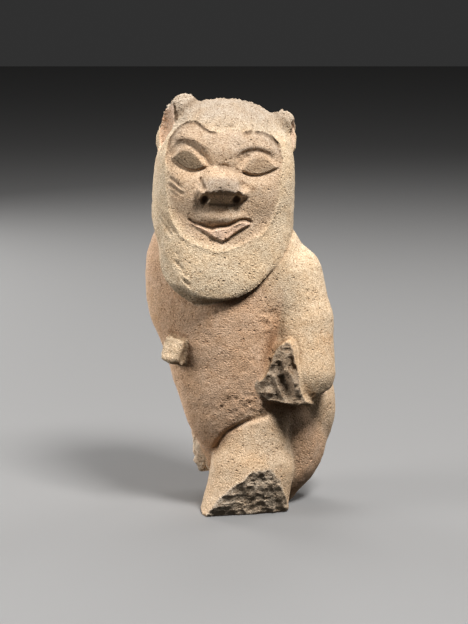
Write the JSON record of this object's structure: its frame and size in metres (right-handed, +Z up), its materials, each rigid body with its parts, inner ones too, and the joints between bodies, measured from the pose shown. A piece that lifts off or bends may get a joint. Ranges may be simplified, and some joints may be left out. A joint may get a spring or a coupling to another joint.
{
  "type": "carved stone figure",
  "caption": "Small carved limestone figure of the bearded, lion-eared god Bes, broken off at the thighs and one forearm, standing on its flat broken underside.",
  "frame": {"origin": "on the flat underside that the figure stands on, beneath its middle, in the plane of the underside", "axes": "+Z up, -Y the way the face looks (towards the viewer of the picture), +X to the viewer's right, which is the figure's own left"},
  "size_m": [0.0749, 0.0644, 0.162],
  "materials": {
    "limestone": "matt, fine-grained beige to pinkish limestone with small pits, greyer in the hair and beard and brown-grey on the breaks"
  },
  "bodies": {
    "root": {"bes_figure": "limestone"}
  },
  "joints": []
}
